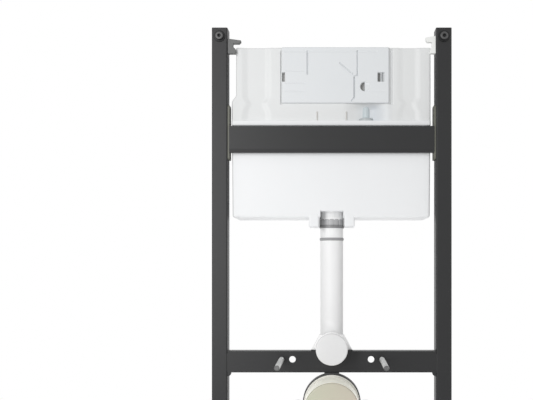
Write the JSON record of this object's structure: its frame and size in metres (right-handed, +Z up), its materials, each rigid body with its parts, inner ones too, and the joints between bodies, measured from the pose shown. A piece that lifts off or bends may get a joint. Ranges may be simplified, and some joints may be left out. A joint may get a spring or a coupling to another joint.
{
  "type": "wall hung toilet frame",
  "caption": "Open steel wall frame with a concealed flush tank, flush pipe, capped waste bend and studs that carry a wall hung toilet pan.",
  "frame": {"origin": "on the floor, midway between the feet, in the plane of the uprights' front faces", "axes": "+Z up, +X to the right seen from the front, -Y towards the user, wall behind at +Y"},
  "size_m": [0.55, 0.28, 1.12],
  "materials": {
    "frame_paint": "matt powder coat",
    "bracket_paint": "dull grey coat",
    "zinc": "bright zinc plate",
    "shell_plastic": "satin moulded",
    "tub_plastic": "satin moulded",
    "cover_plastic": "satin moulded",
    "stub_plastic": "glossy tinted",
    "clip_grey": "satin moulded",
    "clip_pale": "satin moulded",
    "seal_rubber": "matt",
    "nut_plastic": "satin moulded",
    "pipe_plastic": "glossy",
    "waste_plastic": "matt",
    "clamp_coat": "black coat with rubber lining",
    "cap_plastic": "satin moulded"
  },
  "bodies": {
    "root": {"left_upright": "frame_paint", "right_upright": "frame_paint", "left_leg": "frame_paint", "right_leg": "frame_paint", "left_foot_plate": "frame_paint", "right_foot_plate": "frame_paint", "upper_crossbar": "frame_paint", "lower_crossbar": "frame_paint", "left_crossbar_bracket": "bracket_paint", "right_crossbar_bracket": "bracket_paint", "left_pan_stud": "zinc", "right_pan_stud": "zinc", "left_wall_bolt": "zinc", "right_wall_bolt": "zinc", "tank_upper": "shell_plastic", "tank_lower": "tub_plastic", "inspection_cover": "cover_plastic", "inlet_stub": "stub_plastic", "left_tank_clip": "clip_grey", "right_tank_clip": "clip_pale", "outlet_gasket": "seal_rubber", "flush_seal": "seal_rubber", "outlet_nut": "nut_plastic", "flush_pipe": "pipe_plastic", "flush_holder": "pipe_plastic", "flush_cap": "pipe_plastic", "waste_bend": "waste_plastic", "waste_clamp_top": "clamp_coat", "waste_clamp_bottom": "clamp_coat", "waste_cap": "cap_plastic"}
  },
  "joints": []
}
